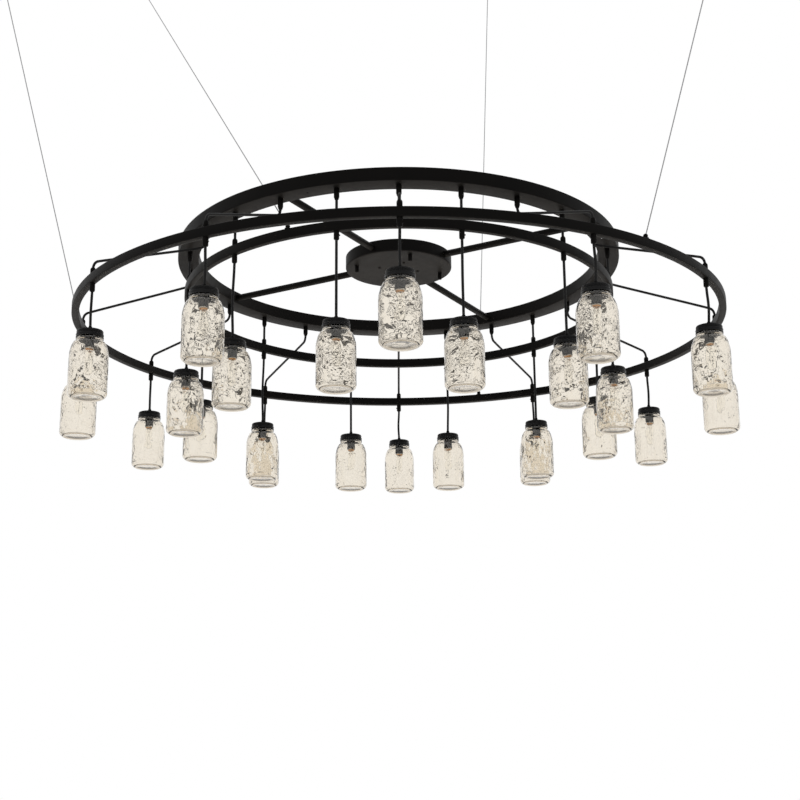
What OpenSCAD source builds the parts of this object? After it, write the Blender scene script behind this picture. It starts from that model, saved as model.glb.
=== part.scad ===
// Two-ring chandelier with twenty-four jar lamps. Millimetres, +Z up.
// The origin is the middle of the hub's top face, where it meets the ceiling.

/* [Ceiling ring and hub] */
// Outside diameter of the ceiling ring
ceiling_ring_d = 1262; // [1240:1:1290]
// Width of the ceiling ring's flat underside
ceiling_ring_w = 59; // [50:1:66]
// Height of the ceiling ring and the hub canopy
ceiling_ring_h = 35; // [30:1:45]
// Sheet thickness of the ceiling ring and the hub canopy
pan_wall = 1.5; // [1:0.1:2.5]
// Diameter of the hub canopy
hub_d = 305; // [280:1:340]
// Outside diameter of a spoke tube
spoke_d = 19; // [16:0.5:22]
// Wall of a spoke tube
spoke_wall = 1.5; // [1:0.1:2]
// Screw hole through the ceiling ring's underside
ring_screw_hole_d = 5.5; // [4:0.5:7]

/* [Hub fasteners] */
// Thickness of the backplate inside the canopy
backplate_t = 3; // [2:0.5:5]
// Diameter of the wire hole in the backplate
wire_hole_d = 40; // [25:1:60]
// Distance between the two junction box screws
box_screw_spacing = 88.9; // [70:0.1:100]
// Diameter of a junction box screw hole
box_screw_hole_d = 5.2; // [4:0.1:6]
// Diameter of a canopy stud
stud_d = 5; // [4:0.5:6]
// Diameter of the circle that the cap nuts sit on
nut_circle_d = 248; // [220:1:258]
// Outside diameter of a cap nut
nut_d = 12; // [10:0.5:16]
// Length of a cap nut below the canopy
nut_len = 20; // [14:1:26]
// Diameter of the circle that the small screws sit on
small_screw_circle_d = 114; // [90:1:140]
// Diameter of a small screw
small_screw_d = 4; // [3:0.5:5]
// Diameter of a small screw's head
small_head_d = 8; // [7:0.5:10]

/* [Lamp rings] */
// Outside diameter of the inner ring
inner_ring_d = 1219; // [1190:1:1235]
// Width of the inner ring's tube
inner_ring_w = 16; // [15:1:22]
// Height of the inner ring's tube
inner_ring_h = 26; // [22:1:32]
// Distance from the ceiling down to the inner ring's top
inner_ring_drop = 124; // [110:1:160]
// Outside diameter of the outer ring
outer_ring_d = 1829; // [1780:1:1880]
// Width of the outer ring's tube
outer_ring_w = 20; // [16:1:24]
// Height of the outer ring's tube
outer_ring_h = 24; // [20:1:30]
// Distance from the ceiling down to the outer ring's top, at its centre
outer_ring_drop = 198; // [190:1:230]
// Slope of the outer ring as it hangs, front side down
outer_tilt = 1.6; // [0:0.1:2.5]
// Wall of both rings' tubes
tube_wall = 1.5; // [1:0.1:2.5]

/* [Cords and grips] */
// Diameter of the lamp cord
cord_d = 7; // [6:0.5:7.5]
// Outside diameter of a cord grip
grip_d = 14; // [13:0.5:16]
// Straight length of a ceiling grip
ceiling_grip_len = 24; // [18:1:30]
// Height of the tapered nose of a ceiling grip
grip_nose = 6; // [4:1:8]
// Height of the grip that stands on a ring
top_grip_len = 17; // [14:1:22]
// Height of the grip that hangs under a ring
low_grip_len = 22; // [18:1:28]
// Diameter of the side screw in a grip that hangs under a ring
side_screw_d = 4; // [3:0.5:5]
// Outside diameter of a hollow nipple
nipple_d = 10; // [9.5:0.1:11]

/* [Lamps] */
// Distance from the inner ring's underside to a jar lid's top
inner_lamp_drop = 234; // [150:1:300]
// Distance from the outer ring's underside to a jar lid's top
outer_lamp_drop = 128; // [100:1:250]
// Diameter of a jar
jar_d = 99.5; // [90:0.5:105]
// Height of a jar with its lid
jar_h = 176; // [160:1:185]
// Thickness of the jar's glass
glass_t = 3; // [2.5:0.1:4]
// Outside diameter of the screw band
band_d = 70; // [68:0.5:74]
// Height of the screw band
band_h = 19; // [17:0.5:21]
// Outside diameter of the lampholder's body
holder_d = 25; // [23:0.5:28]
// Distance from the lid's top to the lampholder's lower edge
holder_len = 46; // [42:1:54]
// Diameter of the bulb
bulb_d = 23; // [20:0.5:30]
// Length of the bulb below the lampholder
bulb_len = 70; // [50:1:85]

/* [Suspension cables] */
// Diameter of a suspension cable
cable_d = 3; // [2:0.5:4]
// Diameter of the round anchor that holds a cable on a ring
anchor_d = 12; // [10:1:16]
// Diameter of a cable's ceiling coupling
coupling_d = 26; // [20:1:34]
// Length of the barrel that the cable ends in
barrel_len = 34; // [24:1:45]
// Diameter of the stud on a ceiling coupling
coupling_stud_d = 6; // [5:1:8]
// Length of the stud on a ceiling coupling
coupling_stud_len = 14; // [10:1:20]

/* [Hidden] */
$fn = 64;
ring_fn = 240;
// Gap between pieces that fit one in the other, and between a moving piece and its bore
fit_gap = 0.15;
run_gap = 0.3;
cut = 1;

ring_lamps = 12;
lamp_step = 360 / ring_lamps;
lamp_count = 2 * ring_lamps;
spoke_count = 4;
spoke_from = -30;
nut_from = 15;
ring_screw_from = -22.5;

ceiling_inner_r = ceiling_ring_d / 2 - ceiling_ring_w;
ceiling_mid_r = (ceiling_ring_d - ceiling_ring_w) / 2;
inner_mid_r = (inner_ring_d - inner_ring_w) / 2;
outer_mid_r = (outer_ring_d - outer_ring_w) / 2;
hub_r = hub_d / 2;
spoke_z = -ceiling_ring_h / 2;
spoke_reach = 6;
plate_room = 3;
plate_r = hub_r - pan_wall - plate_room;
nut_round = 3;
small_head_h = 3;
small_head_round = 2.5;
small_screw_len = 10;

grip_bore_d = cord_d + 2 * run_gap;
grip_nose_lip = 1.2;
grip_nose_d = cord_d + 2 * grip_nose_lip;
grip_chamfer = 1.5;
nipple_reach = 8;
lock_nut_d = 17;
lock_nut_t = 3;
side_screw_show = 2.4;
cord_stop = 6;
ceiling_mouth_z = -ceiling_ring_h - ceiling_grip_len - grip_nose;

// Lamps 0 to 11 hang on the outer ring and 12 to 23 on the inner one, from the front to the right
function on_outer(i) = i < ring_lamps;
function lamp_angle(i) = lamp_step * (on_outer(i) ? i : i - ring_lamps + 0.5);
function two_digits(n) = n < 10 ? str("0", n) : str(n);
function jar_name(i) = str("jar_", two_digits(i + 1));
function lamp_name(i) = str("lamp_", two_digits(i + 1));

// A point at radius r, turned by a from the front, at height z
function around(r, a, z) = [r * sin(a), -r * cos(a), z];
// The same, with h above the top face of the inner or the outer ring as it hangs
function on_inner_ring(r, a, h) = around(r, a, h - inner_ring_drop);
function on_outer_ring(r, a, h) =
    let (p = around(r, a, h))
    [p.x, p.y * cos(outer_tilt) - p.z * sin(outer_tilt),
     p.y * sin(outer_tilt) + p.z * cos(outer_tilt) - outer_ring_drop];

// A drop cord turns about the middle of its round end, in the mouth of the grip under the ring
function pivot(i) = on_outer(i)
    ? on_outer_ring(outer_mid_r, lamp_angle(i), -outer_ring_h - low_grip_len)
    : on_inner_ring(inner_mid_r, lamp_angle(i), -inner_ring_h - low_grip_len);
function drop_len(i) = (on_outer(i) ? outer_lamp_drop : inner_lamp_drop) - low_grip_len;

// Lid, band and lampholder, from the lid's top down
lid_t = 1;
band_t = 1;
band_lip = 5;
band_step_h = 9;
band_step_w = 1.5;
lid_seat = band_t + fit_gap;
lid_r = band_d / 2 - band_step_w - band_t - fit_gap;
holder_top = lid_seat + lid_t + fit_gap;
holder_wall = 3;
holder_neck = 5;
holder_edge = 1;
bushing_h = 12;
bushing_d = 13;
bushing_foot_h = 2;

// Bulb and its cap, from the lampholder's lower edge
cap_d = holder_d - 2 * holder_wall - 2 * fit_gap;
cap_len = 24;
cap_show = 5;
cap_wall = 0.8;
cap_top_gap = 2;
cap_top_t = 4;
cap_edge_w = 2;
cap_edge_h = 3;
bulb_wall = 1;
bulb_in_cap = 2.5;
bulb_stem_h = 1;
bulb_widen_h = 5;

// Jar outline, from the lid's top down
rim_z = holder_top;
rim_round = 0.5;
neck_r = lid_r - 1;
thread_depth = 0.9;
thread_from = 5;
thread_pitch = 4;
thread_side = 0.8;
thread_turns = 2;
bead_r = band_d / 2 - 0.3;
bead_from = band_h + 0.5;
bead_rise = 3;
bead_lip_w = 2;
bead_lip_h = 1.5;
bead_h = 2.5;
waist_r = bead_r - 1.2;
waist_h = 2.5;
shoulder_z = -70;
shoulder_curve = 80;
shoulder_angle = 31;
heel_r = 14;
heel_angle = 65;
foot_r = jar_d / 2 - heel_r + 3;
foot_w = 3;
foot_slope_w = 5;
punt_h = 2.5;

// Each cable: 0 for the outer ring or 1 for the inner one, its angle there, and its coupling's top
cables = [
    [0, -81.5, [-1158, -180, 850]],
    [0, 40.9, [738, -918, 380]],
    [0, 162.3, [349, 870, 1500]],
    [1, -27.8, [-927, 541, 1300]]
];
anchor_base_h = 3;
anchor_foot_d = anchor_d + 4;
anchor_centre_h = 8;
coupling_t = 5;
ball_drop = 4;
barrel_d = 10;
ball_d = 12;

// A sloping feed cord's bends: radius and height from the ceiling grip's mouth, then from the
// mouth of the grip that stands on the outer ring
feed_from = [[0, -2], [2.7, -12], [8.5, -18.4], [16, -21.6]];
feed_to = [[-16, 21.6], [-8.5, 18.4], [-2.7, 12], [0, 2]];
feed_sides = 8;
cord_fn = 16;

metal_black = [0.09, 0.088, 0.085];
cord_black = [0.03, 0.03, 0.032];
cable_grey = [0.55, 0.55, 0.55];
brass = [0.72, 0.45, 0.2];
jar_glass = [0.86, 0.82, 0.74, 0.45];

function unit(v) = v / norm(v);
function arc(c, r, a0, a1, steps) = [for (k = [0:steps])
    let (a = a0 + (a1 - a0) * k / steps) c + r * [cos(a), sin(a)]];

// Carries its children to radius r, turned by a from the front
module at_angle(a, r) {
    rotate([0, 0, a]) translate([0, -r, 0]) children();
}

// Repeats its children at every spoke position, counted from the first angle
module by_four(first, r) {
    for (k = [0:spoke_count - 1]) at_angle(first + k * 360 / spoke_count, r) children();
}

// Lays its children, drawn with z = 0 on a ring's top face, at that ring's place and slope
module in_ring(outer) {
    translate([0, 0, outer ? -outer_ring_drop : -inner_ring_drop])
        rotate([outer ? outer_tilt : 0, 0, 0])
            children();
}

// Turns its children's +Z to point from p along v
module along(p, v) {
    translate(p) rotate([0, acos(v.z / norm(v)), atan2(v.y, v.x)]) children();
}

module rod(p, q, d, sides) {
    along(p, q - p) cylinder(h = norm(q - p), d = d, $fn = sides);
}

// A round tube swept along a route that lies in one upright plane
module sweep(route, d, sides) {
    last = len(route) - 1;
    level = unit(cross(route[last] - route[0], route[1] - route[0]));
    points = [for (k = [0:last])
        let (
            ahead = unit(route[min(k + 1, last)] - route[max(k - 1, 0)]),
            side = unit(cross(ahead, level))
        )
        for (s = [0:sides - 1])
            route[k] + d / 2 * (cos(360 * s / sides) * level + sin(360 * s / sides) * side)];
    skin = [for (k = [0:last - 1], s = [0:sides - 1])
        let (a = k * sides + s, b = k * sides + (s + 1) % sides)
        each [[a, b + sides, b], [a, a + sides, b + sides]]];
    start_cap = [[for (s = [0:sides - 1]) s]];
    end_cap = [[for (s = [sides - 1:-1:0]) last * sides + s]];
    polyhedron(points, concat(skin, start_cap, end_cap));
}

// Rectangular tube rolled to a ring, its top at z = 0, drilled for the lamp nipples
module rolled_ring(d, w, h, first_angle) {
    difference() {
        rotate_extrude($fn = ring_fn)
            translate([d / 2 - w, -h]) difference() {
                square([w, h]);
                translate([tube_wall, tube_wall])
                    square([w - 2 * tube_wall, h - 2 * tube_wall]);
            }
        for (i = [0:ring_lamps - 1])
            at_angle(first_angle + i * lamp_step, (d - w) / 2)
                translate([0, 0, -h - cut])
                    cylinder(h = h + 2 * cut, d = nipple_d + 2 * fit_gap);
    }
}

// Clearance hole for a spoke, through an upright wall at the place it is carried to
module spoke_hole() {
    translate([0, spoke_reach, spoke_z]) rotate([90, 0, 0])
        cylinder(h = 2 * spoke_reach, d = spoke_d + 2 * fit_gap);
}

// Hole of diameter d down through the sheet at the bottom of the ceiling ring or the canopy
module sheet_hole(d) {
    translate([0, 0, -ceiling_ring_h - cut]) cylinder(h = pan_wall + 2 * cut, d = d);
}

module ceiling_ring() {
    color(metal_black)
        difference() {
            rotate_extrude($fn = ring_fn)
                translate([ceiling_inner_r, -ceiling_ring_h]) difference() {
                    square([ceiling_ring_w, ceiling_ring_h]);
                    translate([pan_wall, pan_wall])
                        square([ceiling_ring_w - 2 * pan_wall, ceiling_ring_h]);
                }
            by_four(spoke_from, ceiling_inner_r) spoke_hole();
            by_four(ring_screw_from, ceiling_mid_r) sheet_hole(ring_screw_hole_d);
            for (i = [0:lamp_count - 1])
                at_angle(i * lamp_step / 2, ceiling_mid_r) sheet_hole(nipple_d + 2 * fit_gap);
        }
}

module hub_canopy() {
    color(metal_black)
        difference() {
            translate([0, 0, -ceiling_ring_h]) cylinder(h = ceiling_ring_h, r = hub_r);
            translate([0, 0, -ceiling_ring_h + pan_wall])
                cylinder(h = ceiling_ring_h, r = hub_r - pan_wall);
            by_four(spoke_from, hub_r) spoke_hole();
            by_four(nut_from, nut_circle_d / 2) sheet_hole(stud_d + 2 * fit_gap);
            by_four(nut_from, small_screw_circle_d / 2) sheet_hole(small_screw_d + 2 * fit_gap);
        }
}

module hub_backplate() {
    stud_end = -ceiling_ring_h - nut_len / 2;
    color(metal_black) {
        difference() {
            translate([0, 0, -backplate_t]) cylinder(h = backplate_t, r = plate_r);
            translate([0, 0, -backplate_t - cut])
                cylinder(h = backplate_t + 2 * cut, d = wire_hole_d);
            for (side = [-1, 1])
                translate([side * box_screw_spacing / 2, 0, -backplate_t - cut])
                    cylinder(h = backplate_t + 2 * cut, d = box_screw_hole_d);
        }
        by_four(nut_from, nut_circle_d / 2)
            translate([0, 0, stud_end])
                cylinder(h = -backplate_t / 2 - stud_end, d = stud_d);
    }
}

// A button head of diameter d and height h under the canopy, its edge rounded by r
module button(d, h, r) {
    rotate_extrude() polygon(concat(
        [[0, 0], [d / 2, 0]],
        arc([d / 2 - r, r - h], r, 0, -90, 5),
        [[0, -h]]
    ));
}

module canopy_fasteners() {
    color(metal_black) {
        by_four(nut_from, nut_circle_d / 2)
            translate([0, 0, -ceiling_ring_h - fit_gap]) difference() {
                button(nut_d, nut_len, nut_round);
                translate([0, 0, -nut_len / 2 - fit_gap])
                    cylinder(h = nut_len / 2 + fit_gap + cut, d = stud_d + 2 * fit_gap);
            }
        by_four(nut_from, small_screw_circle_d / 2)
            translate([0, 0, -ceiling_ring_h - fit_gap]) {
                button(small_head_d, small_head_h, small_head_round);
                translate([0, 0, -small_head_h / 2])
                    cylinder(h = small_screw_len + small_head_h / 2, d = small_screw_d);
            }
    }
}

module spokes() {
    inner_end = hub_r - spoke_reach;
    reach = ceiling_inner_r + spoke_reach - inner_end;
    color(metal_black)
        by_four(spoke_from, inner_end)
            translate([0, 0, spoke_z]) rotate([90, 0, 0]) difference() {
                cylinder(h = reach, d = spoke_d);
                translate([0, 0, -cut])
                    cylinder(h = reach + 2 * cut, d = spoke_d - 2 * spoke_wall);
            }
}

// Cord grip under the ceiling ring, with its nipple and lock nut inside the ring
module ceiling_grip() {
    bore_r = grip_bore_d / 2;
    sheet_top = pan_wall + fit_gap;
    rotate_extrude() polygon([
        [bore_r, -ceiling_grip_len - grip_nose],
        [grip_nose_d / 2, -ceiling_grip_len - grip_nose],
        [grip_d / 2, -ceiling_grip_len],
        [grip_d / 2, -fit_gap],
        [nipple_d / 2, -fit_gap],
        [nipple_d / 2, nipple_reach],
        [bore_r, nipple_reach]
    ]);
    translate([0, 0, sheet_top]) difference() {
        cylinder(h = lock_nut_t, d = lock_nut_d, $fn = 6);
        translate([0, 0, -cut]) cylinder(h = lock_nut_t + 2 * cut, d = nipple_d + 2 * fit_gap);
    }
}

module ceiling_grips() {
    color(metal_black)
        for (i = [0:lamp_count - 1])
            at_angle(i * lamp_step / 2, ceiling_mid_r)
                translate([0, 0, -ceiling_ring_h]) ceiling_grip();
}

module inner_ring() {
    color(metal_black)
        in_ring(false) rolled_ring(inner_ring_d, inner_ring_w, inner_ring_h, lamp_step / 2);
}

module outer_ring() {
    color(metal_black)
        in_ring(true) rolled_ring(outer_ring_d, outer_ring_w, outer_ring_h, 0);
}

// Grips above and below a ring of height h: the lower one's nipple goes up through the ring
module ring_grip_pair(h) {
    bore_r = grip_bore_d / 2;
    screw_z = -h - low_grip_len / 2;
    socket_r = nipple_d / 2 + fit_gap;
    socket_h = nipple_reach + fit_gap;
    rotate_extrude() polygon([
        [socket_r, fit_gap],
        [grip_d / 2, fit_gap],
        [grip_d / 2, top_grip_len - 2 * grip_chamfer],
        [grip_d / 2 - grip_chamfer, top_grip_len],
        [bore_r, top_grip_len],
        [bore_r, socket_h],
        [socket_r, socket_h]
    ]);
    difference() {
        rotate_extrude() polygon([
            [bore_r, -h - low_grip_len],
            [grip_d / 2 - grip_chamfer, -h - low_grip_len],
            [grip_d / 2, -h - low_grip_len + grip_chamfer],
            [grip_d / 2, -h - fit_gap],
            [nipple_d / 2, -h - fit_gap],
            [nipple_d / 2, nipple_reach],
            [bore_r, nipple_reach]
        ]);
        translate([0, 0, screw_z]) rotate([0, 90, 0])
            cylinder(h = grip_d, d = side_screw_d + 2 * fit_gap);
    }
    translate([bore_r + fit_gap, 0, screw_z]) rotate([0, 90, 0])
        cylinder(h = grip_d / 2 - bore_r - fit_gap + side_screw_show, d = side_screw_d);
}

module ring_grips() {
    color(metal_black) {
        for (i = [0:ring_lamps - 1])
            in_ring(true) at_angle(lamp_angle(i), outer_mid_r) ring_grip_pair(outer_ring_h);
        for (i = [ring_lamps:lamp_count - 1])
            in_ring(false) at_angle(lamp_angle(i), inner_mid_r) ring_grip_pair(inner_ring_h);
    }
}

module feed_cords() {
    top = -ceiling_ring_h / 2;
    outer_low = -outer_ring_h - low_grip_len + cord_stop;
    inner_low = -inner_ring_h - low_grip_len + cord_stop;
    color(cord_black) {
        for (i = [0:ring_lamps - 1]) {
            a = lamp_angle(i);
            sweep(concat(
                [around(ceiling_mid_r, a, top)],
                [for (p = feed_from) around(ceiling_mid_r + p[0], a, ceiling_mouth_z + p[1])],
                [for (p = feed_to) on_outer_ring(outer_mid_r + p[0], a, top_grip_len + p[1])],
                [on_outer_ring(outer_mid_r, a, outer_low)]
            ), cord_d, feed_sides);
        }
        for (i = [ring_lamps:lamp_count - 1]) {
            a = lamp_angle(i);
            leave = around(ceiling_mid_r, a, ceiling_mouth_z);
            enter = on_inner_ring(inner_mid_r, a, top_grip_len);
            rod(around(ceiling_mid_r, a, top), leave, cord_d, cord_fn);
            rod(leave, enter, cord_d, cord_fn);
            rod(enter, on_inner_ring(inner_mid_r, a, inner_low), cord_d, cord_fn);
        }
    }
}

// Where a cable is held on its ring, and where it ends in its coupling
function cable_low(c) = c[0] == 0
    ? on_outer_ring(outer_mid_r, c[1], anchor_centre_h)
    : on_inner_ring(inner_mid_r, c[1], anchor_centre_h);
function cable_ball(c) = c[2] - [0, 0, coupling_t + ball_drop];

module suspension_cables() {
    color(cable_grey)
        for (c = cables) {
            way = unit(cable_ball(c) - cable_low(c));
            rod(cable_low(c) + fit_gap * way, cable_ball(c) - barrel_len / 2 * way, cable_d, cord_fn);
        }
}

// Hole for a cable from p along v
module cable_bore(p, v, h) {
    along(p, v) cylinder(h = h, d = cable_d + 2 * fit_gap);
}

module cable_fittings() {
    color(cable_grey)
        for (c = cables) {
            way = unit(cable_ball(c) - cable_low(c));
            difference() {
                in_ring(c[0] == 0)
                    at_angle(c[1], c[0] == 0 ? outer_mid_r : inner_mid_r)
                        translate([0, 0, fit_gap]) {
                            cylinder(h = anchor_base_h, d = anchor_foot_d);
                            cylinder(h = anchor_centre_h - fit_gap, d = anchor_d);
                            translate([0, 0, anchor_centre_h - fit_gap]) sphere(d = anchor_d);
                        }
                cable_bore(cable_low(c), way, anchor_d);
            }
            difference() {
                union() {
                    translate(c[2] - [0, 0, coupling_t]) {
                        cylinder(h = coupling_t, d = coupling_d);
                        cylinder(h = coupling_t + coupling_stud_len, d = coupling_stud_d);
                    }
                    translate(cable_ball(c)) sphere(d = ball_d);
                    along(cable_ball(c), -way) cylinder(h = barrel_len, d = barrel_d);
                }
                cable_bore(cable_ball(c) - (barrel_len / 2 - fit_gap) * way, -way, barrel_len);
            }
        }
}

// Drop cord, bushing, lampholder and bulb, drawn with z = 0 on the lid's top
module lamp_parts(drop) {
    cord_r = cord_d / 2;
    hole_r = cord_r + fit_gap;
    neck_top = -lid_seat + holder_neck;
    seat_r = nipple_d / 2 + fit_gap;
    color(cord_black)
        rotate_extrude() polygon(concat(
            [[0, -holder_top - holder_neck], [cord_r, -holder_top - holder_neck]],
            arc([0, drop], cord_r, 0, 90, 8)
        ));
    color(metal_black) {
        rotate_extrude() polygon([
            [seat_r, -lid_seat + fit_gap],
            [bushing_d / 2, -lid_seat + fit_gap],
            [bushing_d / 2, bushing_foot_h],
            [grip_nose_d / 2, bushing_h],
            [hole_r, bushing_h],
            [hole_r, neck_top + fit_gap],
            [seat_r, neck_top + fit_gap]
        ]);
        lampholder_body(neck_top, hole_r);
    }
    bulb();
}

module lampholder_body(neck_top, hole_r) {
    out_r = holder_d / 2;
    in_r = out_r - holder_wall;
    cavity_top = -holder_len + cap_len;
    rotate_extrude() polygon([
        [hole_r, neck_top],
        [nipple_d / 2, neck_top],
        [nipple_d / 2, -holder_top],
        [out_r - holder_edge, -holder_top],
        [out_r, -holder_top - holder_edge],
        [out_r, -holder_len],
        [in_r, -holder_len],
        [in_r, cavity_top],
        [hole_r, cavity_top]
    ]);
}

// The bulb's glass and its brass cap
module bulb() {
    cap_r = cap_d / 2;
    cap_in_r = cap_r - cap_wall;
    cap_low = -holder_len - cap_show;
    cap_top = -holder_len + cap_len - cap_top_gap;
    glass_r = bulb_d / 2;
    round_z = -holder_len - bulb_len + glass_r;
    stem_r = cap_in_r - fit_gap;
    shape = function(t) concat(
        [[stem_r - t, cap_low + bulb_in_cap], [stem_r - t, cap_low - bulb_stem_h]],
        [[glass_r - t, cap_low - bulb_stem_h - bulb_widen_h]],
        arc([0, round_z], glass_r - t, 0, -90, 8)
    );
    inside = shape(bulb_wall);
    color(jar_glass) rotate_extrude() polygon(concat(
        shape(0),
        [for (k = [len(inside) - 1:-1:0]) inside[k]]
    ));
    color(brass) rotate_extrude() polygon([
        [0, cap_top],
        [cap_r - cap_edge_w, cap_top],
        [cap_r, cap_top - cap_edge_h],
        [cap_r, cap_low],
        [cap_in_r, cap_low],
        [cap_in_r, cap_top - cap_top_t],
        [0, cap_top - cap_top_t]
    ]);
}

// Glass jar with its lid plate and screw band, drawn with z = 0 on the lid's top
module jar_parts() {
    color(metal_black) {
        translate([0, 0, -lid_seat - lid_t]) difference() {
            cylinder(h = lid_t, r = lid_r);
            translate([0, 0, -cut]) cylinder(h = lid_t + 2 * cut, d = nipple_d + 2 * fit_gap);
        }
        band();
    }
    jar_glass_body();
}

module band() {
    low_r = band_d / 2;
    up_r = low_r - band_step_w;
    rotate_extrude() polygon([
        [up_r - band_lip, 0],
        [up_r - band_t, 0],
        [up_r, -band_t],
        [up_r, -band_step_h],
        [low_r, -band_step_h - band_t],
        [low_r, -band_h],
        [low_r - band_t, -band_h],
        [low_r - band_t, -band_step_h - 2 * band_t],
        [up_r - band_t, -band_step_h - band_t],
        [up_r - band_t, -band_t],
        [up_r - band_lip, -band_t]
    ]);
}

// Half outline of the jar, drawn in by t, from its threads down to the middle of its heel
function jar_side(t) =
    let (
        body_r = jar_d / 2,
        bead_z = -bead_from - bead_lip_h,
        waist_z = bead_z - bead_h - waist_h,
        threads = [for (k = [0:thread_turns - 1])
            let (z = -thread_from - k * thread_pitch)
            each [
                [neck_r, z],
                [neck_r + thread_depth, z - thread_side],
                [neck_r + thread_depth, z - 2 * thread_side],
                [neck_r, z - 3 * thread_side]
            ]]
    )
    concat(
        t > 0 ? [[neck_r - t, -rim_z]] : [[neck_r, -rim_z - rim_round]],
        t > 0 ? [] : threads,
        [
            [neck_r - t, -bead_from + bead_rise],
            [bead_r - bead_lip_w - t, -bead_from],
            [bead_r - t, bead_z],
            [bead_r - t, bead_z - bead_h],
            [waist_r - t, waist_z - t / 2]
        ],
        arc([body_r - shoulder_curve, shoulder_z], shoulder_curve - t, shoulder_angle, 0, 7),
        arc([body_r - heel_r, -jar_h + heel_r], heel_r - t, 0, -heel_angle, 6)
    );

module jar_glass_body() {
    inside = jar_side(glass_t);
    punt_r = foot_r - foot_w - foot_slope_w;
    color(jar_glass) rotate_extrude() polygon(concat(
        [[neck_r - glass_t, -rim_z], [neck_r - rim_round, -rim_z]],
        jar_side(0),
        [[foot_r, -jar_h], [foot_r - foot_w, -jar_h], [punt_r, punt_h - jar_h], [0, punt_h - jar_h]],
        [[0, punt_h + glass_t - jar_h], [punt_r, punt_h + glass_t - jar_h]],
        [for (k = [len(inside) - 1:-1:1]) inside[k]]
    ));
}

module lamp(i) {
    translate(pivot(i) - [0, 0, drop_len(i)]) lamp_parts(drop_len(i));
}

module jar(i) {
    translate(pivot(i) - [0, 0, drop_len(i)]) jar_parts();
}

ceiling_ring();
hub_canopy();
hub_backplate();
canopy_fasteners();
spokes();
ceiling_grips();
inner_ring();
outer_ring();
ring_grips();
feed_cords();
suspension_cables();
cable_fittings();
for (i = [0:lamp_count - 1]) {
    lamp(i);
    jar(i);
}
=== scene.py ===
"""Two-ring chandelier with twenty-four jar lamps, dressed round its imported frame. Metres, +Z up."""
import math

import bpy
from mathutils import Matrix, Vector


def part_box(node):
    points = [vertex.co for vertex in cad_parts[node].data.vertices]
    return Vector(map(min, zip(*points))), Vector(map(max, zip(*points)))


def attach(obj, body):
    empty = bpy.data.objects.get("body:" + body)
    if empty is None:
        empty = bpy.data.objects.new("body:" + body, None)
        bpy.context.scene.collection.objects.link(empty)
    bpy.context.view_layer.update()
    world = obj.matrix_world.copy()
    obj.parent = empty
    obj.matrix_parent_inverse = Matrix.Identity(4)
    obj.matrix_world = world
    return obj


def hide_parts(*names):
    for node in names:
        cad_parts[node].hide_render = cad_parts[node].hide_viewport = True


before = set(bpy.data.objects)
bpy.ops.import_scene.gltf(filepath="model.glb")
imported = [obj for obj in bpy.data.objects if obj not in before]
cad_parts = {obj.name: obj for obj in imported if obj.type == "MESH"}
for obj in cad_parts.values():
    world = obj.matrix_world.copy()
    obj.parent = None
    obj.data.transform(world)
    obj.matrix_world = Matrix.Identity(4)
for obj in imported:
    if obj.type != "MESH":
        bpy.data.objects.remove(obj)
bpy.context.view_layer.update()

# The camera stands below the object and looks up at it; the picture is square
PICTURE_SIDE = 800
FOCAL_PIXELS = 1448.5
SENSOR_WIDTH = 36
CAMERA_PLACE = (-0.0145, -3.9391, -1.5055)
CAMERA_TURN = 0.22
CAMERA_PITCH = 15.325
CAMERA_ROLL = -0.5

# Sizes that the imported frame's boxes don't give
LAMPS_ON_RING = 12
LAMP_STEP = 360 / LAMPS_ON_RING
PAN_WALL = 0.0015
CEILING_RING_W = 0.059
CEILING_MID_R = 0.6015
INNER_MID_R = 0.6015
OUTER_MID_R = 0.9045
INNER_RING_W, INNER_RING_H, INNER_RING_DROP = 0.016, 0.026, 0.124
OUTER_RING_W, OUTER_RING_H, OUTER_RING_DROP = 0.020, 0.024, 0.198
OUTER_TILT = 1.6
SPOKE_FROM, NUT_FROM, RING_SCREW_FROM = -30, 15, -22.5
SPOKE_D, SPOKE_WALL, SPOKE_REACH = 0.019, 0.0015, 0.006
RING_SCREW_HOLE_D = 0.0055
NUT_CIRCLE_R, NUT_D, NUT_LEN = 0.124, 0.012, 0.020
SMALL_SCREW_CIRCLE_R, SMALL_HEAD_D, SMALL_HEAD_H = 0.057, 0.008, 0.003
STUD_D = 0.005

GAP = 0.00015
CORD_D = 0.007
GRIP_D, GRIP_BORE_D, GRIP_NOSE_D = 0.014, 0.0076, 0.0094
CEILING_GRIP_LEN, CEILING_GRIP_NOSE = 0.024, 0.006
TOP_GRIP_LEN, LOW_GRIP_LEN = 0.017, 0.022
NIPPLE_D, NIPPLE_REACH = 0.010, 0.008
SIDE_SCREW_D, SIDE_SCREW_SHOW = 0.004, 0.0024
CORD_STOP = 0.006
LOCK_NUT_D, LOCK_NUT_T = 0.017, 0.003

JAR_D, JAR_H, GLASS_T = 0.0995, 0.176, 0.003
SHOULDER_Z, SHOULDER_CURVE, SHOULDER_ANGLE, HEEL_R = -0.070, 0.080, 31, 0.014
BAND_D, BAND_H, BAND_T = 0.070, 0.019, 0.001
BAND_STEP_W, BAND_LIP = 0.0015, 0.005
LID_SEAT, LID_T = BAND_T + GAP, 0.001
LID_R = BAND_D / 2 - BAND_STEP_W - BAND_T - GAP
HOLDER_TOP = LID_SEAT + LID_T + GAP
HOLDER_D, HOLDER_LEN, HOLDER_WALL = 0.025, 0.046, 0.003
HOLDER_NECK = 0.005
BUSHING_D, BUSHING_H = 0.013, 0.012
CAP_D = HOLDER_D - 2 * HOLDER_WALL - 2 * GAP
CAP_LEN, CAP_SHOW = 0.024, 0.005
BULB_D, BULB_LEN, BULB_WALL = 0.023, 0.070, 0.001
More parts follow.
